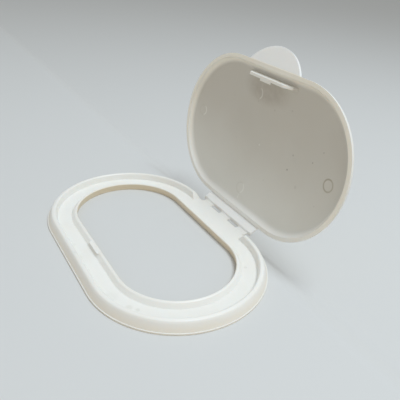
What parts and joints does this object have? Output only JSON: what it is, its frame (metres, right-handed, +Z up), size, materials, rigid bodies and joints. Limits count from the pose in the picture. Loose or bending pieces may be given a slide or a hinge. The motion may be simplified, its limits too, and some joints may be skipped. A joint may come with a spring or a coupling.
{
  "type": "flip-top wet wipe lid",
  "caption": "Round-ended flip-top lid for a pack of wipes: a flanged frame round an opening, and a shallow crowned cap with thumb tab and latch, joined by a thin moulded hinge.",
  "frame": {"origin": "centre of the wipe opening, in the plane of the frame's underside", "axes": "+X along the hinge, +Y from the opening towards the hinge, +Z up, away from the pack"},
  "size_m": [0.1, 0.082, 0.0663],
  "materials": {
    "white_polypropylene": "satin, as moulded"
  },
  "bodies": {
    "frame": {"base_frame": "white_polypropylene", "living_hinge": "white_polypropylene"},
    "cap": {"flip_cap": "white_polypropylene"}
  },
  "joints": [
    {"name": "cap_hinge", "type": "hinge", "parent": "frame", "child": "cap", "pos_m": [0, 0.0322, 0.0007], "axis": [-1, 0, 0], "range_deg": [-100.7, 79.3], "deforming": ["living_hinge"]}
  ]
}
